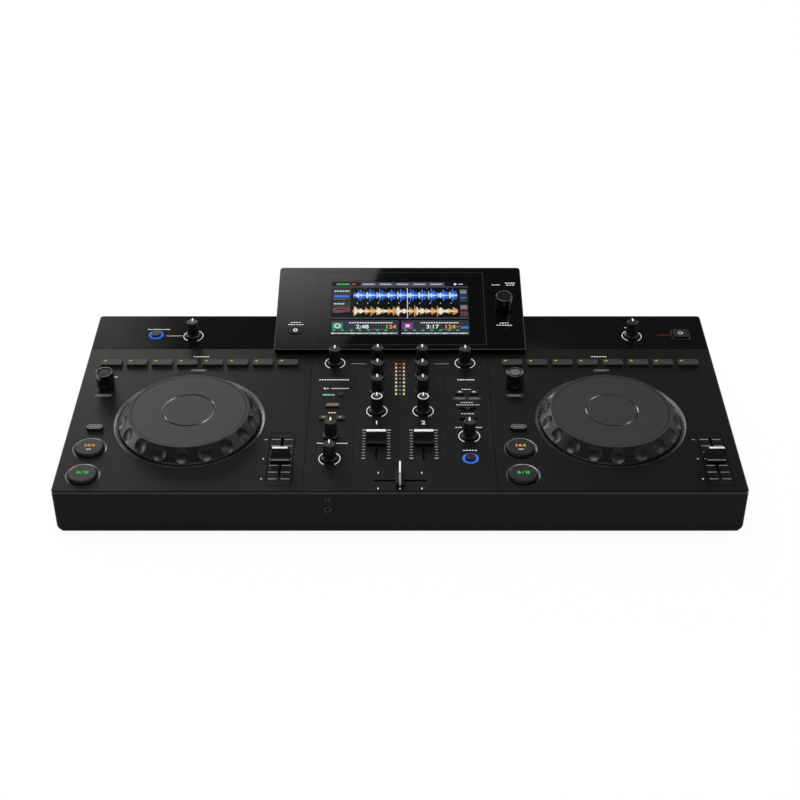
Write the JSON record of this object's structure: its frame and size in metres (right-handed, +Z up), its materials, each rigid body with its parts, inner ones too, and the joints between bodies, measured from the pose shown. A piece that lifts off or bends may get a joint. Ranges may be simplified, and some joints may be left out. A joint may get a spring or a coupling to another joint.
{
  "type": "all-in-one DJ system",
  "caption": "Table-top DJ system with two dimpled jog wheels, a mixer between the decks and a tilted display.",
  "frame": {"origin": "on the table, under the middle of the whole outline", "axes": "+X to the user's right, +Y away from the user towards the display, +Z up"},
  "size_m": [0.65, 0.3524, 0.0912],
  "materials": {
    "case_plastic": "fine moulded texture",
    "socket_plate": "satin black paint",
    "deck_plastic": "fine moulded texture",
    "gloss_black": "polished black",
    "display_glass": "clear cover with a black printed border",
    "picture_panel": "lit colour picture",
    "foot_rubber": "matte",
    "screw_steel": "zinc plated",
    "board_laminate": "solder mask",
    "control_metal": "stamped",
    "well_plastic": "satin black",
    "socket_metal": "nickel plated",
    "light_guide": "clear diffuser lit from below",
    "jog_plastic": "satin dark grey",
    "knob_rubber": "soft touch",
    "fader_plastic": "satin black",
    "button_plastic": "satin dark grey"
  },
  "bodies": {
    "case": {"base_tray": "case_plastic", "upper_case": "case_plastic", "rear_panel": "socket_plate", "deck_panel_left": "deck_plastic", "deck_panel_right": "deck_plastic", "mixer_panel": "deck_plastic", "rear_gloss_panel": "gloss_black", "display_housing": "gloss_black", "display_glass": "display_glass", "lcd_panel": "picture_panel", "rubber_feet": "foot_rubber", "case_screws": "screw_steel", "circuit_boards": "board_laminate", "potentiometers": "control_metal", "fader_units": "control_metal", "jog_wells": "well_plastic", "sockets": "socket_metal", "light_guides": "light_guide"},
    "jog_wheel_left": {"jog_wheel_left": "jog_plastic"},
    "jog_wheel_right": {"jog_wheel_right": "jog_plastic"},
    "tempo_fader_left": {"tempo_fader_left": "fader_plastic"},
    "tempo_fader_right": {"tempo_fader_right": "fader_plastic"},
    "channel_fader_1": {"channel_fader_1": "fader_plastic"},
    "channel_fader_2": {"channel_fader_2": "fader_plastic"},
    "crossfader": {"crossfader": "fader_plastic"},
    "browse_encoder": {"browse_encoder": "knob_rubber"},
    "loop_encoder_left": {"loop_encoder_left": "knob_rubber"},
    "loop_encoder_right": {"loop_encoder_right": "knob_rubber"},
    "play_button_left": {"play_button_left": "button_plastic"},
    "play_button_right": {"play_button_right": "button_plastic"},
    "cue_button_left": {"cue_button_left": "button_plastic"},
    "cue_button_right": {"cue_button_right": "button_plastic"},
    "shift_button_left": {"shift_button_left": "button_plastic"},
    "shift_button_right": {"shift_button_right": "button_plastic"},
    "pads_left": {"pads_left": "button_plastic"},
    "pads_right": {"pads_right": "button_plastic"},
    "phones_cue_buttons": {"phones_cue_buttons": "button_plastic"},
    "beat_buttons": {"beat_buttons": "button_plastic"},
    "pairing_button": {"pairing_button": "button_plastic"},
    "fx_on_button": {"fx_on_button": "button_plastic"},
    "mic_on_button": {"mic_on_button": "button_plastic"},
    "power_button": {"power_button": "button_plastic"},
    "display_buttons": {"display_buttons": "button_plastic"},
    "fx_select_switch": {"fx_select_switch": "button_plastic"},
    "fx_channel_switch": {"fx_channel_switch": "button_plastic"},
    "filter_knob_1": {"filter_knob_1": "knob_rubber"},
    "filter_knob_2": {"filter_knob_2": "knob_rubber"},
    "trim_knob_1": {"trim_knob_1": "knob_rubber"},
    "trim_knob_2": {"trim_knob_2": "knob_rubber"},
    "high_knob_1": {"high_knob_1": "knob_rubber"},
    "high_knob_2": {"high_knob_2": "knob_rubber"},
    "mid_knob_1": {"mid_knob_1": "knob_rubber"},
    "mid_knob_2": {"mid_knob_2": "knob_rubber"},
    "low_knob_1": {"low_knob_1": "knob_rubber"},
    "low_knob_2": {"low_knob_2": "knob_rubber"},
    "phones_mix_knob": {"phones_mix_knob": "knob_rubber"},
    "phones_level_knob": {"phones_level_knob": "knob_rubber"},
    "fx_depth_knob": {"fx_depth_knob": "knob_rubber"},
    "mic_level_knob": {"mic_level_knob": "knob_rubber"},
    "master_level_knob": {"master_level_knob": "knob_rubber"}
  },
  "joints": [
    {"name": "jog_spin_left", "type": "hinge", "parent": "case", "child": "jog_wheel_left", "pos_m": [-0.2075, -0.06619, 0.055], "axis": [0, 0, 1], "continuous": true},
    {"name": "jog_spin_right", "type": "hinge", "parent": "case", "child": "jog_wheel_right", "pos_m": [0.2075, -0.06619, 0.055], "axis": [0, 0, 1], "continuous": true},
    {"name": "tempo_slide_left", "type": "slide", "parent": "case", "child": "tempo_fader_left", "axis": [0, 1, 0], "range_m": [-0.03, 0.03]},
    {"name": "tempo_slide_right", "type": "slide", "parent": "case", "child": "tempo_fader_right", "axis": [0, 1, 0], "range_m": [-0.03, 0.03]},
    {"name": "channel_slide_1", "type": "slide", "parent": "case", "child": "channel_fader_1", "axis": [0, 1, 0], "range_m": [-0.0265, 0.0185]},
    {"name": "channel_slide_2", "type": "slide", "parent": "case", "child": "channel_fader_2", "axis": [0, 1, 0], "range_m": [-0.0265, 0.0185]},
    {"name": "crossfader_slide", "type": "slide", "parent": "case", "child": "crossfader", "axis": [1, 0, 0], "range_m": [-0.0225, 0.0225]},
    {"name": "browse_turn", "type": "hinge", "parent": "case", "child": "browse_encoder", "pos_m": [0.111, 0.11164, 0.07208], "axis": [0, -0.1736, 0.9848], "continuous": true},
    {"name": "loop_turn_left", "type": "hinge", "parent": "case", "child": "loop_encoder_left", "pos_m": [-0.2987, -0.00819, 0.055], "axis": [0, 0, 1], "continuous": true},
    {"name": "loop_turn_right", "type": "hinge", "parent": "case", "child": "loop_encoder_right", "pos_m": [0.1163, -0.00819, 0.055], "axis": [0, 0, 1], "continuous": true},
    {"name": "play_press_left", "type": "slide", "parent": "case", "child": "play_button_left", "axis": [0, 0, 1], "range_m": [-0.0012, 0], "stiffness_N_per_m": 250, "springref_m": 0.001},
    {"name": "play_press_right", "type": "slide", "parent": "case", "child": "play_button_right", "axis": [0, 0, 1], "range_m": [-0.0012, 0], "stiffness_N_per_m": 250, "springref_m": 0.001},
    {"name": "cue_press_left", "type": "slide", "parent": "case", "child": "cue_button_left", "axis": [0, 0, 1], "range_m": [-0.0012, 0], "stiffness_N_per_m": 250, "springref_m": 0.001},
    {"name": "cue_press_right", "type": "slide", "parent": "case", "child": "cue_button_right", "axis": [0, 0, 1], "range_m": [-0.0012, 0], "stiffness_N_per_m": 250, "springref_m": 0.001},
    {"name": "shift_press_left", "type": "slide", "parent": "case", "child": "shift_button_left", "axis": [0, 0, 1], "range_m": [-0.0012, 0], "stiffness_N_per_m": 250, "springref_m": 0.001},
    {"name": "shift_press_right", "type": "slide", "parent": "case", "child": "shift_button_right", "axis": [0, 0, 1], "range_m": [-0.0012, 0], "stiffness_N_per_m": 250, "springref_m": 0.001},
    {"name": "pads_press_left", "type": "slide", "parent": "case", "child": "pads_left", "axis": [0, 0, 1], "range_m": [-0.0012, 0], "stiffness_N_per_m": 500, "springref_m": 0.001},
    {"name": "pads_press_right", "type": "slide", "parent": "case", "child": "pads_right", "axis": [0, 0, 1], "range_m": [-0.0012, 0], "stiffness_N_per_m": 500, "springref_m": 0.001},
    {"name": "phones_cue_press", "type": "slide", "parent": "case", "child": "phones_cue_buttons", "axis": [0, 0, 1], "range_m": [-0.0012, 0], "stiffness_N_per_m": 250, "springref_m": 0.001},
    {"name": "beat_press", "type": "slide", "parent": "case", "child": "beat_buttons", "axis": [0, 0, 1], "range_m": [-0.0012, 0], "stiffness_N_per_m": 250, "springref_m": 0.001},
    {"name": "pairing_press", "type": "slide", "parent": "case", "child": "pairing_button", "axis": [0, 0, 1], "range_m": [-0.0012, 0], "stiffness_N_per_m": 250, "springref_m": 0.001},
    {"name": "fx_on_press", "type": "slide", "parent": "case", "child": "fx_on_button", "axis": [0, 0, 1], "range_m": [-0.0012, 0], "stiffness_N_per_m": 250, "springref_m": 0.001},
    {"name": "mic_on_press", "type": "slide", "parent": "case", "child": "mic_on_button", "axis": [0, 0, 1], "range_m": [-0.0012, 0], "stiffness_N_per_m": 250, "springref_m": 0.001},
    {"name": "power_press", "type": "slide", "parent": "case", "child": "power_button", "axis": [0, 0, 1], "range_m": [-0.0012, 0], "stiffness_N_per_m": 250, "springref_m": 0.001},
    {"name": "display_press", "type": "slide", "parent": "case", "child": "display_buttons", "axis": [0, -0.1736, 0.9848], "range_m": [-0.0006, 0], "stiffness_N_per_m": 250, "springref_m": 0.001},
    {"name": "fx_select_slide", "type": "slide", "parent": "case", "child": "fx_select_switch", "axis": [1, 0, 0], "range_m": [-0.004, 0.004]},
    {"name": "fx_channel_slide", "type": "slide", "parent": "case", "child": "fx_channel_switch", "axis": [1, 0, 0], "range_m": [-0.004, 0.004]},
    {"name": "filter_1_turn", "type": "hinge", "parent": "case", "child": "filter_knob_1", "pos_m": [-0.023, -0.05049, 0.055], "axis": [0, 0, 1], "range_deg": [-140, 140]},
    {"name": "filter_2_turn", "type": "hinge", "parent": "case", "child": "filter_knob_2", "pos_m": [0.023, -0.05049, 0.055], "axis": [0, 0, 1], "range_deg": [-140, 140]},
    {"name": "trim_1_turn", "type": "hinge", "parent": "case", "child": "trim_knob_1", "pos_m": [-0.0674, 0.03281, 0.055], "axis": [0, 0, 1], "range_deg": [-140, 140]},
    {"name": "trim_2_turn", "type": "hinge", "parent": "case", "child": "trim_knob_2", "pos_m": [0.0674, 0.03281, 0.055], "axis": [0, 0, 1], "range_deg": [-140, 140]},
    {"name": "high_1_turn", "type": "hinge", "parent": "case", "child": "high_knob_1", "pos_m": [-0.023, 0.03481, 0.055], "axis": [0, 0, 1], "range_deg": [-140, 140]},
    {"name": "high_2_turn", "type": "hinge", "parent": "case", "child": "high_knob_2", "pos_m": [0.023, 0.03481, 0.055], "axis": [0, 0, 1], "range_deg": [-140, 140]},
    {"name": "mid_1_turn", "type": "hinge", "parent": "case", "child": "mid_knob_1", "pos_m": [-0.023, 0.00811, 0.055], "axis": [0, 0, 1], "range_deg": [-140, 140]},
    {"name": "mid_2_turn", "type": "hinge", "parent": "case", "child": "mid_knob_2", "pos_m": [0.023, 0.00811, 0.055], "axis": [0, 0, 1], "range_deg": [-140, 140]},
    {"name": "low_1_turn", "type": "hinge", "parent": "case", "child": "low_knob_1", "pos_m": [-0.023, -0.01879, 0.055], "axis": [0, 0, 1], "range_deg": [-140, 140]},
    {"name": "low_2_turn", "type": "hinge", "parent": "case", "child": "low_knob_2", "pos_m": [0.023, -0.01879, 0.055], "axis": [0, 0, 1], "range_deg": [-140, 140]},
    {"name": "phones_mix_turn", "type": "hinge", "parent": "case", "child": "phones_mix_knob", "pos_m": [-0.0674, -0.09119, 0.055], "axis": [0, 0, 1], "range_deg": [-140, 140]},
    {"name": "phones_level_turn", "type": "hinge", "parent": "case", "child": "phones_level_knob", "pos_m": [-0.0674, -0.12669, 0.055], "axis": [0, 0, 1], "range_deg": [-140, 140]},
    {"name": "fx_depth_turn", "type": "hinge", "parent": "case", "child": "fx_depth_knob", "pos_m": [0.0674, -0.09149, 0.055], "axis": [0, 0, 1], "range_deg": [-140, 140]},
    {"name": "mic_level_turn", "type": "hinge", "parent": "case", "child": "mic_level_knob", "pos_m": [-0.22, 0.08331, 0.055], "axis": [0, 0, 1], "range_deg": [-140, 140]},
    {"name": "master_level_turn", "type": "hinge", "parent": "case", "child": "master_level_knob", "pos_m": [0.2467, 0.08331, 0.055], "axis": [0, 0, 1], "range_deg": [-140, 140]}
  ]
}
